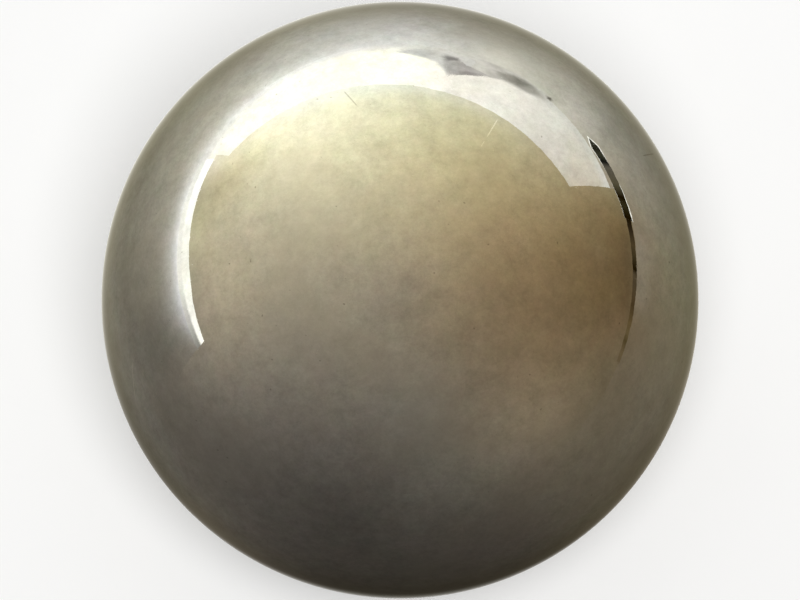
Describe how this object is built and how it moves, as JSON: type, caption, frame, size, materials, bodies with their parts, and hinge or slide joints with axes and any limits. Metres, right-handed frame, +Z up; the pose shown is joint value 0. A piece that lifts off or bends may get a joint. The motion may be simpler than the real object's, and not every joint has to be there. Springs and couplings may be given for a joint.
{
  "type": "steel ball",
  "caption": "Plain solid steel ball with a mirror-polished surface, held by a cup, ring, race or magnet under it.",
  "frame": {"origin": "the centre of the ball", "axes": "+Z up, away from the seat under the ball; X and Y level. Every line through the centre is an axis of symmetry"},
  "size_m": [0.0254, 0.0254, 0.0254],
  "materials": {
    "polished_steel": "polished"
  },
  "bodies": {
    "root": {"ball": "polished_steel"}
  },
  "joints": []
}
